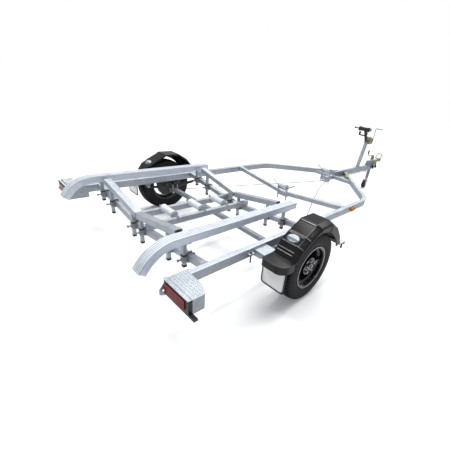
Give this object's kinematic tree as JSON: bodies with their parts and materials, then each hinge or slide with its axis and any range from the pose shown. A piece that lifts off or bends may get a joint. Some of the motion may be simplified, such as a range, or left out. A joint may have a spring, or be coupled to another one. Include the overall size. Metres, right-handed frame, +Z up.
{
  "type": "boat trailer",
  "caption": "Galvanised single-axle boat trailer with skids, keel rollers, winch post, overrun coupling and jockey wheel, parked empty.",
  "frame": {"origin": "on the ground under the middle of the trailer's overall length and width", "axes": "+X forwards to the coupling, +Y to the left, +Z up"},
  "size_m": [5.3808, 2.472, 1.233],
  "materials": {
    "galvanised_steel": "dull spangled zinc",
    "plated_steel": "bright zinc plate",
    "yellow_zinc": "yellow passivated zinc",
    "spring_steel": "black paint",
    "cast_iron": "machined and bare",
    "black_guard": "gloss",
    "black_rubber": "matt",
    "black_plastic": "satin",
    "red_lens": "clear gloss",
    "amber_lens": "clear gloss",
    "grey_polymer": "smooth",
    "tyre_rubber": "matt",
    "alloy_rim": "black with bright edges",
    "strap_webbing": "woven",
    "cable_jacket": "smooth"
  },
  "bodies": {
    "chassis": {"rail_left": "galvanised_steel", "rail_right": "galvanised_steel", "crossmembers": "galvanised_steel", "a_frame_crossbar": "galvanised_steel", "drawbar": "galvanised_steel", "gusset_plates": "galvanised_steel", "long_skids": "galvanised_steel", "skid_caps": "grey_polymer", "cross_skids": "grey_polymer", "skid_posts": "galvanised_steel", "post_clamps": "plated_steel", "keel_beams": "galvanised_steel", "roller_pins": "plated_steel", "keel_arm": "galvanised_steel", "keel_guide_brackets": "galvanised_steel", "axle_beam": "galvanised_steel", "leaf_springs": "spring_steel", "spring_hangers": "galvanised_steel", "axle_u_bolts": "plated_steel", "brake_callipers": "cast_iron", "brake_rod": "galvanised_steel", "brake_rod_hangers": "galvanised_steel", "brake_cables": "cable_jacket", "mudguard_left": "black_guard", "mudguard_right": "black_guard", "mudflaps": "black_rubber", "guard_brackets": "galvanised_steel", "light_boxes": "galvanised_steel", "tie_down_plates": "galvanised_steel", "tail_lamp_housings": "black_plastic", "tail_lamp_lenses": "red_lens", "side_markers": "amber_lens", "winch_post": "galvanised_steel", "bow_stop_bracket": "galvanised_steel", "winch_frame": "yellow_zinc", "coupling_housing": "yellow_zinc", "jockey_clamp": "galvanised_steel"},
    "wheel_left": {"tyre_left": "tyre_rubber", "rim_left": "alloy_rim", "hub_left": "cast_iron"},
    "wheel_right": {"tyre_right": "tyre_rubber", "rim_right": "alloy_rim", "hub_right": "cast_iron"},
    "keel_roller_1": {"keel_roller_1": "grey_polymer"},
    "keel_roller_2": {"keel_roller_2": "grey_polymer"},
    "keel_roller_3": {"keel_roller_3": "grey_polymer"},
    "keel_guide_roller_middle": {"keel_guide_roller_middle": "black_rubber"},
    "keel_guide_roller_bow": {"keel_guide_roller_bow": "black_rubber"},
    "bow_roller": {"bow_roller": "black_rubber"},
    "winch": {"winch_drum": "plated_steel", "winch_strap": "strap_webbing", "winch_crank": "plated_steel"},
    "coupling_head": {"coupling_head": "yellow_zinc"},
    "coupling_handle": {"coupling_handle": "plated_steel"},
    "jockey_tube": {"jockey_tube": "galvanised_steel", "jockey_crank": "plated_steel"},
    "jockey_leg": {"jockey_leg": "galvanised_steel"},
    "jockey_fork": {"jockey_fork": "galvanised_steel"},
    "jockey_wheel": {"jockey_wheel": "black_rubber"}
  },
  "joints": [
    {"name": "wheel_left_spin", "type": "hinge", "parent": "chassis", "child": "wheel_left", "pos_m": [-1.508, 1.128, 0.31], "axis": [0, 1, 0], "continuous": true},
    {"name": "wheel_right_spin", "type": "hinge", "parent": "chassis", "child": "wheel_right", "pos_m": [-1.508, -1.128, 0.31], "axis": [0, 1, 0], "continuous": true},
    {"name": "keel_roller_1_spin", "type": "hinge", "parent": "chassis", "child": "keel_roller_1", "pos_m": [-2.077, 0, 0.478], "axis": [0, 1, 0], "continuous": true},
    {"name": "keel_roller_2_spin", "type": "hinge", "parent": "chassis", "child": "keel_roller_2", "pos_m": [-1.796, 0, 0.478], "axis": [0, 1, 0], "continuous": true},
    {"name": "keel_roller_3_spin", "type": "hinge", "parent": "chassis", "child": "keel_roller_3", "pos_m": [-1.531, 0, 0.478], "axis": [0, 1, 0], "continuous": true},
    {"name": "keel_guide_roller_middle_spin", "type": "hinge", "parent": "chassis", "child": "keel_guide_roller_middle", "pos_m": [-0.468, 0, 0.482], "axis": [0, 1, 0], "continuous": true},
    {"name": "keel_guide_roller_bow_spin", "type": "hinge", "parent": "chassis", "child": "keel_guide_roller_bow", "pos_m": [0.577, 0, 0.585], "axis": [0, 1, 0], "continuous": true},
    {"name": "bow_roller_spin", "type": "hinge", "parent": "chassis", "child": "bow_roller", "pos_m": [1.542, 0, 1.195], "axis": [0, 1, 0], "continuous": true},
    {"name": "winch_turn", "type": "hinge", "parent": "chassis", "child": "winch", "pos_m": [1.892, 0, 0.995], "axis": [0, 1, 0], "continuous": true},
    {"name": "overrun_slide", "type": "slide", "parent": "chassis", "child": "coupling_head", "axis": [1, 0, 0], "range_m": [-0.06, 0]},
    {"name": "coupling_handle_lift", "type": "hinge", "parent": "coupling_head", "child": "coupling_handle", "pos_m": [2.584, 0, 0.622], "axis": [0, 1, 0], "range_deg": [-40, 25]},
    {"name": "jockey_clamp_slide", "type": "slide", "parent": "chassis", "child": "jockey_tube", "axis": [0, 0, 1], "range_m": [0, 0.25]},
    {"name": "jockey_winding", "type": "slide", "parent": "jockey_tube", "child": "jockey_leg", "axis": [0, 0, 1], "range_m": [-0.15, 0.035]},
    {"name": "jockey_swivel", "type": "hinge", "parent": "jockey_leg", "child": "jockey_fork", "pos_m": [2.462, 0.066, 0.173], "axis": [0, 0, 1], "continuous": true},
    {"name": "jockey_wheel_spin", "type": "hinge", "parent": "jockey_fork", "child": "jockey_wheel", "pos_m": [2.412, 0.066, 0.08], "axis": [0, 1, 0], "continuous": true}
  ]
}
